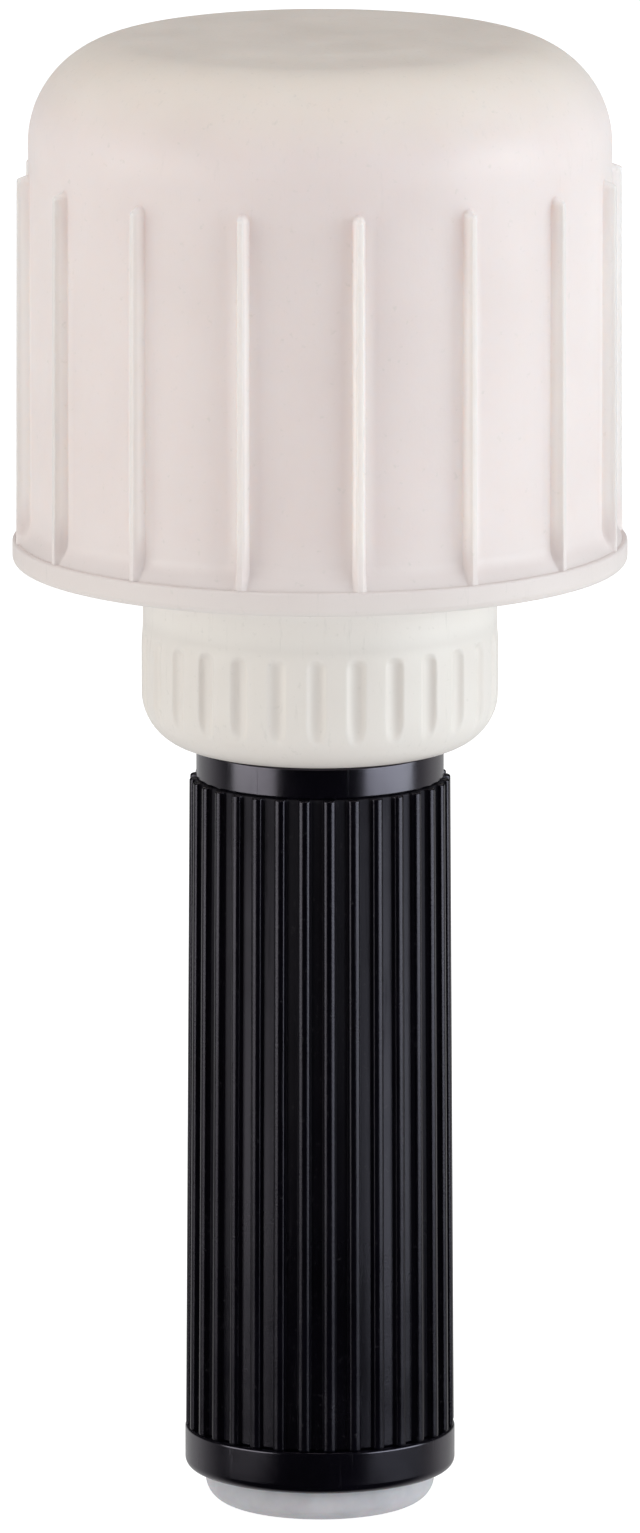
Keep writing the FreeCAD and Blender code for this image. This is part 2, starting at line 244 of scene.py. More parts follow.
def refined(points, low, high, longest):
    """The same loop, cut up so that no stretch between the two heights is longer than longest."""
    result = []
    for index, (radius, height) in enumerate(points):
        result.append((radius, height))
        next_radius, next_height = points[(index + 1) % len(points)]
        middle = (height + next_height) / 2
        length = math.hypot(next_radius - radius, next_height - height)
        if not low <= middle <= high or length <= longest:
            continue
        pieces = math.ceil(length / longest)
        for piece in range(1, pieces):
            share = piece / pieces
            result.append((radius + (next_radius - radius) * share, height + (next_height - height) * share))
    return result


def even_angles(count):
    return [FULL_TURN * step / count for step in range(count)]


def clustered_angles(count, phase, half_band, dense, sparse):
    """Angles round a turn, close together within half_band of each of count repeated features."""
    pitch = FULL_TURN / count
    angles = []
    for feature in range(count):
        centre = phase + feature * pitch
        for step in range(dense):
            angles.append(centre - half_band + 2 * half_band * step / dense)
        for step in range(sparse):
            angles.append(centre + half_band + (pitch - 2 * half_band) * step / sparse)
    return angles


def from_feature(angle, count, phase):
    """Angle from the nearest of count repeated features."""
    pitch = FULL_TURN / count
    return (angle - phase + pitch / 2) % pitch - pitch / 2


def smooth_step(low, high, value):
    share = min(1.0, max(0.0, (value - low) / (high - low)))
    return share * share * (3 - 2 * share)


def turned_mesh(name, points, angles, shaped=None):
    """A closed solid of revolution from a loop of points that runs anticlockwise, outside upwards.
    shaped(radius, height, angle) moves a point's radius; a point on the axis becomes one pole."""
    form = bmesh.new()
    rings = []
    for radius, height in points:
        if radius == 0:
            rings.append([form.verts.new((0, 0, height))])
            continue
        ring = []
        for angle in angles:
            r = shaped(radius, height, angle) if shaped else radius
            ring.append(form.verts.new((r * math.sin(angle), -r * math.cos(angle), height)))
        rings.append(ring)
    for lower, upper in zip(rings, rings[1:] + rings[:1]):
        join_rings(form, lower, upper)
    bmesh.ops.recalc_face_normals(form, faces=form.faces)
    return finished_mesh(name, form)


def join_rings(form, lower, upper):
    count = max(len(lower), len(upper))
    if count == 1:
        return
    for step in range(count):
        after = (step + 1) % count
        if len(lower) == 1:
            form.faces.new((lower[0], upper[after], upper[step]))
        elif len(upper) == 1:
            form.faces.new((lower[step], lower[after], upper[0]))
        else:
            form.faces.new((lower[step], lower[after], upper[after], upper[step]))


def finished_mesh(name, form):
    mesh = bpy.data.meshes.new(name)
    form.to_mesh(mesh)
    form.free()
    mesh.shade_smooth()
    mesh.set_sharp_from_angle(angle=SHARP_OVER)
    return mesh


def add_piece(name, mesh, body, slot, material, *nodes):
    piece = bpy.data.objects.new(name, mesh)
    bpy.context.scene.collection.objects.link(piece)
    mesh.materials.append(material)
    normals = piece.modifiers.new("even_normals", "WEIGHTED_NORMAL")
    normals.keep_sharp = True
    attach(piece, body)
    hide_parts(*nodes)
    return piece


# =====================================================================
# Materials
# =====================================================================
def set_range(node, *limits):
    """Sets a Map Range node's four limits."""
    for key, number in zip(("From Min", "From Max", "To Min", "To Max"), limits):
        node.inputs[key].default_value = number


class Shader:
    """A Principled material, with short calls for the nodes that feed it."""

    def __init__(self, name):
        self.material = bpy.data.materials.new(name)
        self.material.use_nodes = True
        self.tree = self.material.node_tree
        self.principled = self.tree.nodes["Principled BSDF"]
        self.place = self.add("ShaderNodeTexCoord").outputs["Object"]

    def add(self, kind, **inputs):
        node = self.tree.nodes.new(kind)
        for key, value in inputs.items():
            self.plug(node.inputs[key.replace("_", " ")], value)
        return node

    def plug(self, socket, value):
        if isinstance(value, bpy.types.NodeSocket):
            self.tree.links.new(value, socket)
        else:
            socket.default_value = value

    def set(self, **inputs):
        for key, value in inputs.items():
            self.plug(self.principled.inputs[key.replace("_", " ")], value)

    def stretched(self, x, y, z):
        """Object coordinates scaled per axis, in metres."""
        node = self.add("ShaderNodeMapping", Vector=self.place)
        node.inputs["Scale"].default_value = (x, y, z)
        return node.outputs["Vector"]

    def noise(self, size, detail=3.0, roughness=0.55, vector=None):
        """Noise whose features are about size metres across."""
        node = self.add("ShaderNodeTexNoise", Vector=vector or self.place)
        node.inputs["Scale"].default_value = 1 / size
        node.inputs["Detail"].default_value = detail
        node.inputs["Roughness"].default_value = roughness
        return node.outputs["Fac"]

    def ranged(self, value, from_low, from_high, to_low=0.0, to_high=1.0):
        node = self.add("ShaderNodeMapRange", Value=value)
        set_range(node, from_low, from_high, to_low, to_high)
        return node.outputs["Result"]

    def math(self, operation, first, second=0.0):
        node = self.tree.nodes.new("ShaderNodeMath")
        node.operation = operation
        self.plug(node.inputs[0], first)
        self.plug(node.inputs[1], second)
        return node.outputs[0]

    def mixed(self, share, first, second):
        node = self.tree.nodes.new("ShaderNodeMix")
        node.data_type = "RGBA"
        self.plug(node.inputs["Factor"], share)
        self.plug(node.inputs[6], first)
        self.plug(node.inputs[7], second)
        return node.outputs[2]

    def height(self):
        return self.add("ShaderNodeSeparateXYZ", Vector=self.place).outputs["Z"]

    def radius(self):
        """Distance from the tool's axis."""
        split = self.add("ShaderNodeSeparateXYZ", Vector=self.place)
        across = self.math("MULTIPLY", split.outputs["X"], split.outputs["X"])
        along = self.math("MULTIPLY", split.outputs["Y"], split.outputs["Y"])
        return self.math("SQRT", self.math("ADD", across, along))

    def bump(self, height, distance, strength=1.0, under=None):
        node = self.add("ShaderNodeBump", Height=height)
        node.inputs["Distance"].default_value = distance
        node.inputs["Strength"].default_value = strength
        if under is not None:
            self.tree.links.new(under, node.inputs["Normal"])
        return node.outputs["Normal"]


def colour(red, green, blue):
    return (red, green, blue, 1.0)


def milky_tint(shader, height):
    """Rosy in the head, and creamy towards the face and the collar, with soft clouding."""
    cloud = shader.ranged(shader.noise(26 * MM, 4.0), 0.3, 0.7)
    rosy = shader.mixed(cloud, colour(0.815, 0.724, 0.708), colour(0.775, 0.679, 0.661))
    low_cream = shader.mixed(cloud, colour(0.805, 0.748, 0.708), colour(0.765, 0.708, 0.668))
    high_cream = shader.mixed(cloud, colour(0.830, 0.750, 0.685), colour(0.790, 0.710, 0.645))
    base = shader.mixed(shader.ranged(height, *CREAMY_COLLAR_Z, 1.0, 0.0), rosy, low_cream)
    return shader.mixed(shader.ranged(height, *CREAMY_FACE_Z), base, high_cream)


def neck_and_rim_painted_light(shader, height, base):
    """Painted light on the neck, paler to lift the shade under the rim, and painted shade on the solid rim,
    deeper in tone.
    """
    past_neck = shader.ranged(height, *NECK_END_Z)
    up_to_rim = shader.ranged(height, *NECK_END_Z, 1.0, 0.0)
    painted_light_on_neck = shader.math("MULTIPLY", shader.ranged(height, *NECK_START_Z), up_to_rim)
    # Painted light: the neck is made paler to lift the shade under the rim.
    base = shader.mixed(shader.math("MULTIPLY", painted_light_on_neck, NECK_PAINTED_LIGHT), base, colour(0.95, 0.92, 0.88))
    below_shell = shader.ranged(height, SHELL_LOW.z - 0.4 * MM, SHELL_LOW.z, 1.0, 0.0)
    painted_shade_on_rim = shader.math("MULTIPLY", past_neck, below_shell)
    # Painted shade: the rim is made darker than the head above it.
    return shader.mixed(shader.math("MULTIPLY", painted_shade_on_rim, RIM_PAINTED_SHADE), base, colour(0.62, 0.55, 0.53))


def fins_painted_light_and_shade(shader, height, base):
    """Painted light on the fins' flanks, lifting the shade beside them and fading towards the rim and the
    tips, and painted shade on the crests.
    """
    radius = shader.radius()
    above_flare = shader.ranged(height, *ABOVE_FLARE_Z)
    below_tip = shader.ranged(height, *FIN_FADE_Z, 1.0, 0.0)
    painted_light_on_flank = shader.math("MULTIPLY", shader.ranged(radius, *FIN_FOOT_BAND),
                           shader.ranged(radius, *FIN_FLANK_BAND, 1.0, 0.0))
    painted_light_on_flank = shader.math("MULTIPLY", painted_light_on_flank, shader.math("MULTIPLY", above_flare, below_tip))
    # Painted light: the fins' flanks are made paler to lift the shade beside the fins.
    base = shader.mixed(shader.math("MULTIPLY", painted_light_on_flank, FIN_FLANK_PAINTED_LIGHT), base, colour(0.95, 0.90, 0.88))
    painted_shade_on_crest = shader.ranged(radius, *FIN_CREST_BAND, 0.0, FIN_CREST_PAINTED_SHADE)
    # Painted shade: the fins' crests are made darker where they catch the light.
    return shader.mixed(shader.math("MULTIPLY", painted_shade_on_crest, above_flare), base, colour(0.55, 0.51, 0.49))


def milky_material(name, scuffed_from=None):
    """Translucent white moulding with specks, a faint orange peel, dull scuffs, and painted light and shade
    on the neck, the rim and the fins. scuffed_from is the height above which the scuffs thicken towards the
    striking face."""
    shader = Shader(name)
    height = shader.height()
    base = neck_and_rim_painted_light(shader, height, milky_tint(shader, height))
    base = fins_painted_light_and_shade(shader, height, base)
    speck = shader.ranged(shader.noise(1.1 * MM, 2.0), 0.66, 0.78, 0.0, 0.35)
    base = shader.mixed(speck, base, colour(0.62, 0.58, 0.54))
    scuff_lines = shader.noise(1.0 * MM, 4.0, 0.7, shader.stretched(1.0, 1.0, 0.12))
    scuff = shader.ranged(scuff_lines, 0.60, 0.72)
    if scuffed_from is not None:
        near_face = shader.ranged(height, scuffed_from, SHELL_HIGH.z, 0.15, 1.0)
        scuff = shader.math("MULTIPLY", scuff, near_face)
    base = shader.mixed(shader.math("MULTIPLY", scuff, 0.22), base, colour(0.55, 0.52, 0.49))
    rough = shader.ranged(shader.noise(9 * MM, 3.0), 0.3, 0.7, 0.36, 0.46)
    rough = shader.math("ADD", rough, shader.math("MULTIPLY", scuff, 0.15))
    peel = shader.bump(shader.noise(1.6 * MM, 2.0), 0.05 * MM, 0.5)
    marks = shader.bump(scuff_lines, 0.03 * MM, 0.35, under=peel)
    shader.set(Base_Color=base, Roughness=rough, Normal=marks, IOR=1.49)
    cloudy = shader.ranged(height, *CLOUDY_HEAD_Z, CLEAR_MOULDING, CLOUDY_HEAD)
    shader.set(Specular_IOR_Level=0.35, Subsurface_Weight=cloudy, Subsurface_Scale=0.005)
    shader.set(Subsurface_Radius=(1.0, 0.85, 0.75))
    return shader.material


def black_material(name, shine, rough_low, rough_high, grain_size, grain_depth, dusty=0.0, worn=None):
    """Black moulded plastic: moulding grain, handling polish and hairline scratches along the tool.
    worn is a pair of radii between which dull grooves turn into polished crests."""
    shader = Shader(name)
    base = shader.mixed(shader.ranged(shader.noise(14 * MM, 3.0), 0.3, 0.7), colour(0.0005, 0.0004, 0.0013),
                        colour(0.0014, 0.0011, 0.0030))
    dust = shader.ranged(shader.noise(0.7 * MM, 3.0, 0.7), 0.62, 0.80, 0.0, dusty)
    base = shader.mixed(dust, base, colour(0.10, 0.095, 0.10))
    scratches = shader.noise(0.9 * MM, 3.0, 0.6, shader.stretched(1.0, 1.0, 0.05))
    scratch = shader.ranged(scratches, 0.60, 0.70)
    rough = shader.ranged(shader.noise(11 * MM, 4.0), 0.3, 0.7, rough_low, rough_high)
    rough = shader.math("ADD", rough, shader.math("MULTIPLY", scratch, 0.08))
    if worn is not None:
        rough = shader.math("ADD", rough, shader.ranged(shader.radius(), worn[0], worn[1], 0.35, 0.0))
    grain = shader.bump(shader.noise(grain_size, 2.0), grain_depth, 0.5)
    lines = shader.bump(scratches, 0.01 * MM, 0.3, under=grain)
    shader.set(Base_Color=base, Roughness=rough, Normal=lines, IOR=1.5, Specular_IOR_Level=shine)
    shader.set(Specular_Tint=colour(0.93, 0.84, 1.0))
    return shader.material


def plug_material():
    """Cloudy, nearly clear plastic with flow marks."""
    shader = Shader("cloudy_plug")
    cloud = shader.ranged(shader.noise(5 * MM, 4.0), 0.3, 0.7)
    base = shader.mixed(cloud, colour(0.49, 0.48, 0.515), colour(0.60, 0.58, 0.61))
    flow = shader.noise(1.5 * MM, 3.0, 0.6, shader.stretched(0.3, 0.3, 1.0))
    rough = shader.ranged(flow, 0.3, 0.7, 0.30, 0.42)
    shader.set(Base_Color=base, Roughness=rough, Normal=shader.bump(flow, 0.04 * MM, 0.4), IOR=1.49)
    shader.set(Subsurface_Weight=0.3, Subsurface_Scale=0.003)
    return shader.material


def metal_material(name, light, dark, rough_low, rough_high, line_size):
    """Bare or plated metal, with turning lines round the axis and small stains."""
    shader = Shader(name)
    lines = shader.noise(line_size, 2.0, 0.6, shader.stretched(0.06, 0.06, 1.0))
    stain = shader.ranged(shader.noise(6 * MM, 4.0, 0.65), 0.4, 0.7)
    base = shader.mixed(stain, light, dark)
    rough = shader.ranged(lines, 0.3, 0.7, rough_low, rough_high)
    shader.set(Base_Color=base, Roughness=rough, Metallic=1.0, Normal=shader.bump(lines, 0.02 * MM, 0.5))
    return shader.material


def dull_material(name, light, dark, rough, grain_size):
    """Rubber, nylon or filler that is seen only when the tool is apart."""
    shader = Shader(name)
    base = shader.mixed(shader.ranged(shader.noise(4 * MM, 4.0), 0.3, 0.7), light, dark)
    uneven = shader.ranged(shader.noise(2 * MM, 3.0), 0.3, 0.7, rough - 0.08, rough + 0.08)
    grain = shader.bump(shader.noise(grain_size, 2.0), 0.04 * MM, 0.5)
    shader.set(Base_Color=base, Roughness=uneven, Normal=grain)
    return shader.material


# =====================================================================
# Head
# =====================================================================
def fin_height(height, angle):
    """How far the nearest fin stands out of the head's wall, between nothing and one."""
    across = abs(from_feature(angle, FIN_COUNT, FIN_PHASE)) * BODY_R
    tip_centre = FIN_TOP_Z - FIN_WIDTH
    above = max(0.0, height - tip_centre)
    distance = math.hypot(across, above * FIN_TIP_SQUASH)
    blade = 1 - smooth_step(FIN_WIDTH / 2 - FIN_FLANK, FIN_WIDTH / 2 + FIN_FLANK, distance)
    foot = FIN_FOOT_SHARE * (1 - smooth_step(FIN_WIDTH / 2, FIN_FOOT_HALF_WIDTH, distance))
    return max(blade, foot)


def finned(radius, height, angle):
    """The head's outer wall raised into fins; the cavity's wall is left alone."""
    if radius < BODY_R - ON_THE_WALL:
        return radius
    along = (height - SHELL_LOW.z) / (FIN_TOP_Z - SHELL_LOW.z)
    crest = FIN_BOTTOM_R + (FIN_TOP_R - FIN_BOTTOM_R) * min(1.0, along)
    return radius + (crest - radius) * fin_height(height, angle)


def head_shell_mesh():
    low, high = SHELL_LOW.z, SHELL_HIGH.z
    corners = [
        (CAVITY_R, low, 0),
        (FLARE_R, low, 0),
        (BODY_R, low + FLARE_HEIGHT, FLARE_CURVE_R),
        (BODY_R, high - FACE_FALL, CROWN_EDGE_R),
        (FACE_FLAT_R, high, FACE_CURVE_R),
        (0, high, 0),
        (0, CAVITY_TOP_Z, 0),
        (CAVITY_R, CAVITY_TOP_Z, CAVITY_EDGE_R),
    ]
    points = outline(corners, steps=26)
    tip_low, tip_high = FIN_TOP_Z - 4 * MM, FIN_TOP_Z + 3 * MM
    points = refined(points, low, tip_low, COARSE_STRETCH)
    points = refined(points, tip_low, tip_high, TIP_STRETCH)
    points = refined(points, high - 0.5 * MM, high, COARSE_STRETCH)
    angles = clustered_angles(FIN_COUNT, FIN_PHASE, FIN_FOOT_HALF_WIDTH / BODY_R, dense=34, sparse=7)
    return turned_mesh("finned_head", points, angles, finned)


def head_base_mesh():
    low, high = BASE_LOW.z, BASE_HIGH.z
    rim_top = SHELL_LOW.z
    rim_bottom = rim_top - RIM_THICKNESS
    groove_r, groove_low, groove_high = CIRCLIP_GROOVE
    recess_r, recess_top = WASHER_RECESS
    inside_r = CAVITY_R - 0.05 * MM
    outer_r = min(BASE_HIGH.x, BASE_HIGH.y, -BASE_LOW.x, -BASE_LOW.y)
    corners = [
        (SOCKET_R, low, 0),
        (HUB_R, low, 0.3 * MM),
        (HUB_R, groove_low, 0),
        (groove_r, groove_low, 0),
        (groove_r, groove_high, 0),
        (HUB_R, groove_high, 0),
        (HUB_R, recess_top, 0),
        (recess_r, recess_top, 0),
        (recess_r, COLLAR_HIGH.z, 0),
        (NECK_R, COLLAR_HIGH.z, 0),
        (NECK_R, rim_bottom, NECK_FILLET_R),
        (outer_r, rim_bottom, RIM_BOTTOM_EDGE_R),
        (outer_r, rim_top, RIM_TOP_EDGE_R),
        (inside_r, rim_top, 0),
        (inside_r, high, 0.5 * MM),
        (SOCKET_R, high, 0),
    ]
    return turned_mesh("rim_and_neck", outline(corners, steps=8), even_angles(RIM_TURN_STEPS))


def screw_hole_cutter():
    """Eight stepped plugs, a hair larger than the screws, joined in one cutting mesh."""
    rim_bottom = SHELL_LOW.z - RIM_THICKNESS
    steps = (
        (SCREW_HEAD_HOLE_R, -CUTTER_START),
        (SCREW_HEAD_HOLE_R, SCREW_HEAD_HOLE_DEPTH),
        (SCREW_HOLE_R, SCREW_HEAD_HOLE_DEPTH),
        (SCREW_HOLE_R, SCREW_HOLE_DEPTH),
    )
    form = bmesh.new()
    for step in range(SCREW_COUNT):
        angle = FIN_PHASE + FULL_TURN / FIN_COUNT / 2 + FULL_TURN * step / SCREW_COUNT
        centre = Vector((SCREW_CIRCLE_R * math.sin(angle), -SCREW_CIRCLE_R * math.cos(angle), 0))
        rings = []
        for radius, height in steps:
            ring = []
            for turn in even_angles(HOLE_TURN_STEPS):
                across = Vector((math.cos(turn), math.sin(turn), 0)) * radius
                ring.append(form.verts.new(centre + across + Vector((0, 0, rim_bottom + height))))
            rings.append(ring)
        for lower, upper in zip(rings, rings[1:]):
            join_rings(form, lower, upper)
        form.faces.new(list(reversed(rings[0])))
        form.faces.new(rings[-1])
    bmesh.ops.recalc_face_normals(form, faces=form.faces)
    mesh = bpy.data.meshes.new("screw_hole_cutter")
    form.to_mesh(mesh)
    form.free()
    return mesh


def with_screw_holes(mesh):
    """The rim with its eight stepped screw holes cut through."""
    holder = bpy.data.objects.new("rim_blank", mesh)
    cutter = bpy.data.objects.new("rim_cutter", screw_hole_cutter())
    for thing in (holder, cutter):
        bpy.context.scene.collection.objects.link(thing)
    cut = holder.modifiers.new("holes", "BOOLEAN")
    cut.operation = "DIFFERENCE"
    cut.solver = "EXACT"
    cut.object = cutter
    bpy.context.view_layer.update()
    graph = bpy.context.evaluated_depsgraph_get()
    result = bpy.data.meshes.new_from_object(holder.evaluated_get(graph))
    for thing in (holder, cutter):
        bpy.data.objects.remove(thing)
    result.name = "rim_and_neck"
    result.shade_smooth()
    result.set_sharp_from_angle(angle=SHARP_OVER)
    return result


# =====================================================================
# Collar
# =====================================================================
def fluted(radius, height, angle):
    """Round-bottomed flutes in the collar's outside, running out towards its top."""
    if radius < HUB_R or height > FLUTE_TOP_Z:
        return radius
    depth = FLUTE_DEPTH * smooth_step(0, FLUTE_FADE, FLUTE_TOP_Z - height)
    across = abs(from_feature(angle, FLUTE_COUNT, FLUTE_PHASE)) * COLLAR_HIGH.x
    if across >= FLUTE_TOOL_R:
        return radius
    tool_centre = COLLAR_HIGH.x - depth + FLUTE_TOOL_R
    flute_r = tool_centre - math.sqrt(FLUTE_TOOL_R ** 2 - across ** 2)
    spare = flute_r - radius
    if spare >= FLUTE_EDGE:
        return radius
    if spare <= -FLUTE_EDGE:
        return flute_r
    return min(flute_r, radius) - (FLUTE_EDGE - abs(spare)) ** 2 / (4 * FLUTE_EDGE)


def collar_mesh():
    low, high = COLLAR_LOW.z, COLLAR_HIGH.z
    outer_r = COLLAR_HIGH.x
    corners = [
        (COLLAR_MOUTH_R, low, 0.15 * MM),
        (outer_r, low, COLLAR_EDGE_R),
        (outer_r, FLUTE_TOP_Z - SHOULDER_HEIGHT, SHOULDER_CURVE_R),
        (NECK_R, FLUTE_TOP_Z, SHOULDER_CURVE_R),
        (NECK_R, high, 0),
        (COLLAR_LIP_R, high, 0),
        (COLLAR_LIP_R, COLLAR_LIP_Z, 0),
        (COLLAR_CAVITY_R, COLLAR_LIP_Z, 0),
        (COLLAR_CAVITY_R, INSERT_HIGH.z, 0),
        (INSERT_HIGH.x, INSERT_HIGH.z, 0),
        (INSERT_HIGH.x, INSERT_LOW.z, 0),
        (COLLAR_MOUTH_R, INSERT_LOW.z, 0),
    ]
    points = refined(outline(corners, steps=14), low + 4 * MM, FLUTE_TOP_Z, COLLAR_STRETCH)
    angles = clustered_angles(FLUTE_COUNT, FLUTE_PHASE, FLUTE_TOOL_R * 1.05 / outer_r, dense=18, sparse=4)
    return turned_mesh("fluted_collar", points, angles, fluted)


def threaded(bottom_z, top_z, crest_r, depth):
    """A shape function for a helical V thread cut from crest_r by depth, running out at both ends."""
    def shape(radius, height, angle):
        if abs(radius - crest_r) > 1e-6 or not bottom_z < height < top_z:
            return radius
        turn = (height / THREAD_PITCH - angle / FULL_TURN) % 1.0
        groove = 1 - abs(2 * turn - 1)
        groove = smooth_step(THREAD_FLAT, 1 - THREAD_FLAT, groove)
        run_out = min(1.0, (height - bottom_z) / THREAD_RUN_OUT, (top_z - height) / THREAD_RUN_OUT)
        return radius - depth * groove * run_out
    return shape


def thread_insert_mesh():
    low, high = INSERT_LOW.z, INSERT_HIGH.z
    bore_r = THREAD_R + THREAD_CLEARANCE
    corners = [(bore_r, low, 0), (INSERT_HIGH.x, low, 0), (INSERT_HIGH.x, high, 0), (bore_r, high, 0)]
    points = refined(outline(corners), low, high, INSERT_STRETCH)
    shape = threaded(low, high, bore_r, -INSERT_THREAD_DEPTH)
    return turned_mesh("brass_insert", points, even_angles(INSERT_TURN_STEPS), shape)


# =====================================================================
# Handle
# =====================================================================
def ferrule_mesh():
    band_r = FERRULE_HIGH.x
    corners = [
        (ROD_HOLE_R, FERRULE_LOW.z, 0),
        (TUBE_SLEEVE_R, FERRULE_LOW.z, SMALL_EDGE_R),
        (TUBE_SLEEVE_R, GRIP_HIGH.z, 0),
        (band_r, GRIP_HIGH.z, SMALL_EDGE_R),
        (band_r, BAND_TOP_Z, SMALL_EDGE_R),
        (THREAD_R, BAND_TOP_Z, 0),
        (THREAD_R, THREAD_TOP_Z, 0),
        (ROD_HOLE_R, THREAD_TOP_Z, 0),
    ]
    points = refined(outline(corners, steps=6), BAND_TOP_Z, THREAD_TOP_Z, THREAD_STRETCH)
    shape = threaded(BAND_TOP_Z + 0.4 * MM, THREAD_TOP_Z + 0.1 * MM, THREAD_R, THREAD_DEPTH)
    return turned_mesh("upper_band", points, even_angles(TURN_STEPS), shape)


def ribbed(radius, height, angle):
    """Straight ribs with domed crests, and flat-bottomed grooves between them; the bore is left alone."""
    if radius < TUBE_R + ON_THE_WALL:
        return radius
    across = abs(from_feature(angle, RIB_COUNT, RIB_PHASE)) * GRIP_TOP_R
    on_rib = min(across, RIB_HALF_WIDTH)
    dome = RIB_CREST_R - math.sqrt(RIB_CREST_R ** 2 - on_rib ** 2)
    groove = smooth_step(RIB_HALF_WIDTH - RIB_EDGE / 2, RIB_HALF_WIDTH + RIB_EDGE / 2, across)
    return radius - dome * (1 - groove) - RIB_DEPTH * groove


def grip_mesh():
    low, high = GRIP_LOW.z, GRIP_HIGH.z
    corners = [
        (TUBE_R, low, 0),
        (GRIP_BOTTOM_R, low, GRIP_EDGE_R),
        (GRIP_TOP_R, high, GRIP_EDGE_R),
        (TUBE_R, high, 0),
    ]
    points = refined(outline(corners, steps=5), low + 0.5 * MM, high - 0.5 * MM, GRIP_STRETCH)
    half_band = (RIB_HALF_WIDTH + RIB_EDGE) / GRIP_TOP_R
    angles = clustered_angles(RIB_COUNT, RIB_PHASE, half_band, dense=30, sparse=3)
    return turned_mesh("ribbed_grip", points, angles, ribbed)


def end_ring_mesh():
    corners = [
        (NUT_RECESS_R, RING_LOW.z, 0),
        (RING_HIGH.x, RING_LOW.z, RING_EDGE_R),
        (RING_HIGH.x, GRIP_LOW.z, SMALL_EDGE_R),
        (TUBE_SLEEVE_R, GRIP_LOW.z, 0),
        (TUBE_SLEEVE_R, RING_HIGH.z, SMALL_EDGE_R),
        (ROD_HOLE_R, RING_HIGH.z, 0),
        (ROD_HOLE_R, NUT_RECESS_TOP_Z, 0),
        (NUT_RECESS_R, NUT_RECESS_TOP_Z, 0),
    ]
    return turned_mesh("lower_band", outline(corners, steps=8), even_angles(TURN_STEPS))


def plug_mesh():
    """Foot plug: rounded cap with a gate dimple in its face, and a grooved spigot above."""
    low, high = PLUG_LOW.z, PLUG_HIGH.z
    cap_top = RING_LOW.z
    groove_r, groove_low, groove_high = SEAL_GROOVE
    corners = [
        (0, low + GATE_DIMPLE_DEPTH, 0),
        (GATE_DIMPLE_R - 0.2 * MM, low + GATE_DIMPLE_DEPTH, 0.2 * MM),
        (GATE_DIMPLE_R + 0.2 * MM, low, 0.2 * MM),
        (PLUG_HIGH.x, low, PLUG_EDGE_R),
        (PLUG_HIGH.x, cap_top, 0.2 * MM),
        (PLUG_SPIGOT_R, cap_top, 0),
        (PLUG_SPIGOT_R, groove_low, 0),
        (groove_r, groove_low, 0),
        (groove_r, groove_high, 0),
        (PLUG_SPIGOT_R, groove_high, 0),
        (PLUG_SPIGOT_R, high, 0.3 * MM),
        (PLUG_BORE_R, high, 0),
        (PLUG_BORE_R, cap_top, 0),
        (0, cap_top, 0),
    ]
    return turned_mesh("foot_plug", outline(corners, steps=12), even_angles(TURN_STEPS))


# =====================================================================
# Stage
# =====================================================================
def floor():
    mesh = bpy.data.meshes.new("floor")
    form = bmesh.new()
    bmesh.ops.create_grid(form, x_segments=1, y_segments=1, size=FLOOR_HALF_SIZE)
    form.to_mesh(mesh)
    form.free()
    plane = bpy.data.objects.new("floor", mesh)
    plane.location.z = CAD_BOX[0][2]
    bpy.context.scene.collection.objects.link(plane)
    shader = Shader("pale_floor")
    tone = shader.mixed(shader.noise(300 * MM, 2.0), colour(0.44, 0.44, 0.44), colour(0.48, 0.48, 0.48))
    glow = shader.ranged(shader.add("ShaderNodeLightPath").outputs["Is Camera Ray"], 0, 1,
                         FLOOR_GLOW_CAST, FLOOR_GLOW_SEEN)
    shader.set(Base_Color=tone, Roughness=0.9, Emission_Color=colour(1, 1, 1), Emission_Strength=glow)
    mesh.materials.append(shader.material)
    plane.visible_glossy = False


def softbox(name, azimuth, width, power, tint):
    """An upright rectangular light level with the tool and facing it; azimuth in degrees from the front
    towards +X."""
    light = bpy.data.lights.new(name, "AREA")
    light.shape = "RECTANGLE"
    light.size = width
    light.size_y = SOFTBOX_HEIGHT
    light.energy = power
    light.color = tint
    lamp = bpy.data.objects.new(name, light)
    bpy.context.scene.collection.objects.link(lamp)
    around = math.radians(azimuth)
    away = Vector((math.sin(around), -math.cos(around), 0))
    lamp.location = away * SOFTBOX_DISTANCE + Vector((0, 0, SOFTBOX_MIDDLE_Z))
    lamp.rotation_euler = (-away).to_track_quat("-Z", "Y").to_euler()


def studio_world():
    """White to the eye, grey to matt surfaces and brighter overhead, and dark to glossy ones except low
    down behind."""
    world = bpy.data.worlds.new("studio")
    bpy.context.scene.world = world
    world.use_nodes = True
    tree = world.node_tree
    path = tree.nodes.new("ShaderNodeLightPath")
    where = tree.nodes.new("ShaderNodeTexCoord")
    split = tree.nodes.new("ShaderNodeSeparateXYZ")
    tree.links.new(where.outputs["Generated"], split.inputs[0])

    def graded(axis, low, high, to_low, to_high):
        node = tree.nodes.new("ShaderNodeMapRange")
        tree.links.new(split.outputs[axis], node.inputs["Value"])
        set_range(node, low, high, to_low, to_high)
        return node.outputs["Result"]

    def chosen(ray, otherwise, when_so):
        node = tree.nodes.new("ShaderNodeMix")
        tree.links.new(path.outputs[ray], node.inputs["Factor"])
        tree.links.new(otherwise, node.inputs["A"])
        if isinstance(when_so, bpy.types.NodeSocket):
            tree.links.new(when_so, node.inputs["B"])
        else:
            node.inputs["B"].default_value = when_so
        return node.outputs["Result"]

    matt = graded("Z", 0.0, 1.0, MATT_SKY_LOW, MATT_SKY_TOP)
    behind = graded("Y", *GLOSSY_SKY_DEPTH_Y, GLOSSY_SKY_FRONT, GLOSSY_SKY_BEHIND)
    low_down = graded("Z", *GLOSSY_SKY_HORIZON_Z, 1.0, GLOSSY_SKY_OVERHEAD)
    glossy = tree.nodes.new("ShaderNodeMath")
    glossy.operation = "MULTIPLY"
    tree.links.new(behind, glossy.inputs[0])
    tree.links.new(low_down, glossy.inputs[1])
    strength = chosen("Is Camera Ray", chosen("Is Glossy Ray", matt, glossy.outputs[0]), 1.0)
    tree.links.new(strength, tree.nodes["Background"].inputs["Strength"])
    tree.nodes["Background"].inputs["Color"].default_value = colour(1, 1, 1)


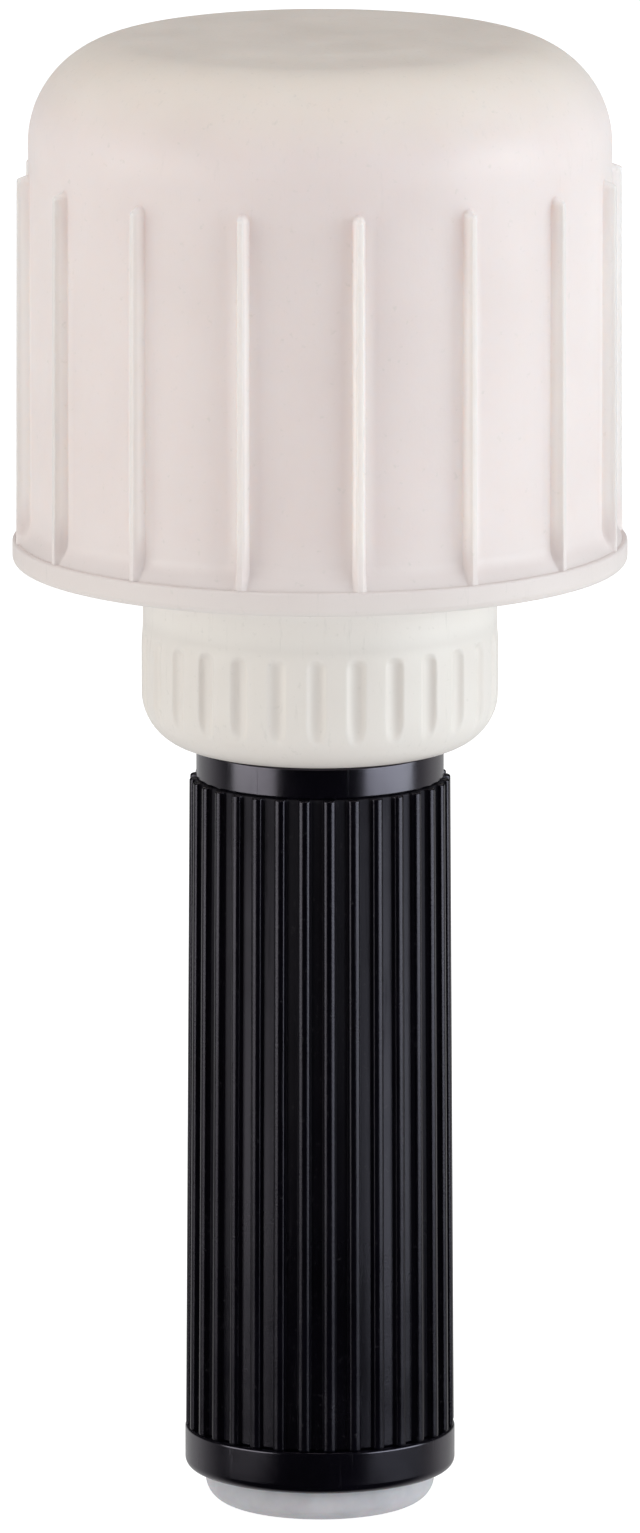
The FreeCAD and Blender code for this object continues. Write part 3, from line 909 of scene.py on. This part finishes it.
def camera():
    data = bpy.data.cameras.new("camera")
    data.lens = CAMERA_LENS
    data.sensor_width = CAMERA_SENSOR
    data.clip_end = 50
    thing = bpy.data.objects.new("camera", data)
    bpy.context.scene.collection.objects.link(thing)
    away = Vector((0, -math.cos(CAMERA_ELEVATION), math.sin(CAMERA_ELEVATION)))
    thing.location = Vector((0, 0, CAMERA_AIM_Z)) + away * CAMERA_DISTANCE
    thing.rotation_euler = (-away).to_track_quat("-Z", "Y").to_euler()
    bpy.context.scene.camera = thing


def paint_nodes(material, *names):
    """Gives carried-over CAD nodes that material."""
    for name in names:
        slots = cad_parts[name].data.materials
        slots.clear()
        slots.append(material)


def build():
    milky = milky_material("milky_head", SCUFFED_FROM_Z)
    milky_base = milky_material("milky_base")
    milky_collar = milky_material("milky_collar")
    grip_wear = (GRIP_TOP_R - RIB_DEPTH, GRIP_TOP_R - RIB_DEPTH / 2)
    grip_black = black_material("grip_black", shine=0.5, rough_low=0.18, rough_high=0.28,
                                grain_size=0.35 * MM, grain_depth=0.02 * MM, dusty=0.25, worn=grip_wear)
    gloss_black = black_material("gloss_black", shine=0.9, rough_low=0.16, rough_high=0.24,
                                 grain_size=2.0 * MM, grain_depth=0.01 * MM, dusty=0.06)
    rubber = dull_material("seal_rubber", colour(0.02, 0.02, 0.02), colour(0.035, 0.034, 0.033),
                           rough=0.8, grain_size=0.4 * MM)
    nylon = dull_material("bush_nylon", colour(0.76, 0.74, 0.67), colour(0.68, 0.66, 0.58),
                          rough=0.5, grain_size=0.6 * MM)
    core = dull_material("core_plastic", colour(0.56, 0.54, 0.49), colour(0.48, 0.46, 0.41),
                         rough=0.6, grain_size=1.0 * MM)
    steel = metal_material("plated_steel", colour(0.55, 0.56, 0.58), colour(0.42, 0.43, 0.45),
                           rough_low=0.25, rough_high=0.45, line_size=0.5 * MM)
    mill = metal_material("mill_tube", colour(0.62, 0.62, 0.64), colour(0.5, 0.5, 0.52),
                          rough_low=0.3, rough_high=0.5, line_size=0.8 * MM)
    brass = metal_material("turned_brass", colour(0.72, 0.52, 0.24), colour(0.55, 0.38, 0.17),
                           rough_low=0.2, rough_high=0.4, line_size=0.4 * MM)

    add_piece("finned_head", head_shell_mesh(), "head", "head_soft_white", milky, "head_shell")
    rim = with_screw_holes(head_base_mesh())
    add_piece("rim_and_neck", rim, "head", "head_white", milky_base, "head_base")
    add_piece("fluted_collar", collar_mesh(), "collar", "collar_white", milky_collar, "collar_nut")
    add_piece("brass_insert", thread_insert_mesh(), "collar", "insert_brass", brass, "thread_insert")
    add_piece("upper_band", ferrule_mesh(), "handle", "handle_gloss_black", gloss_black, "threaded_ferrule")
    add_piece("ribbed_grip", grip_mesh(), "handle", "grip_black", grip_black, "grip_sleeve")
    add_piece("lower_band", end_ring_mesh(), "handle", "handle_gloss_black", gloss_black, "end_ring")
    add_piece("foot_plug", plug_mesh(), "handle", "plug_clear_grey", plug_material(), "end_plug")

    paint_nodes(steel, "centre_rod", "rod_washer", "spring_washer", "rod_nut")
    paint_nodes(steel, "retaining_circlip", "key_socket", "base_screws")
    paint_nodes(mill, "handle_tube")
    paint_nodes(rubber, "plug_seal_ring", "seat_gasket")
    paint_nodes(nylon, "rod_bush", "slip_washer")
    paint_nodes(core, "head_core")


def light_and_camera():
    floor()
    studio_world()
    softbox("left_softbox", azimuth=-65, width=0.95, power=7.2, tint=(0.96, 1.0, 0.96))
    softbox("right_softbox", azimuth=69, width=1.1, power=10.9, tint=(0.87, 0.97, 1.0))
    bpy.context.scene.view_settings.view_transform = "Standard"
    camera()


build()
light_and_camera()
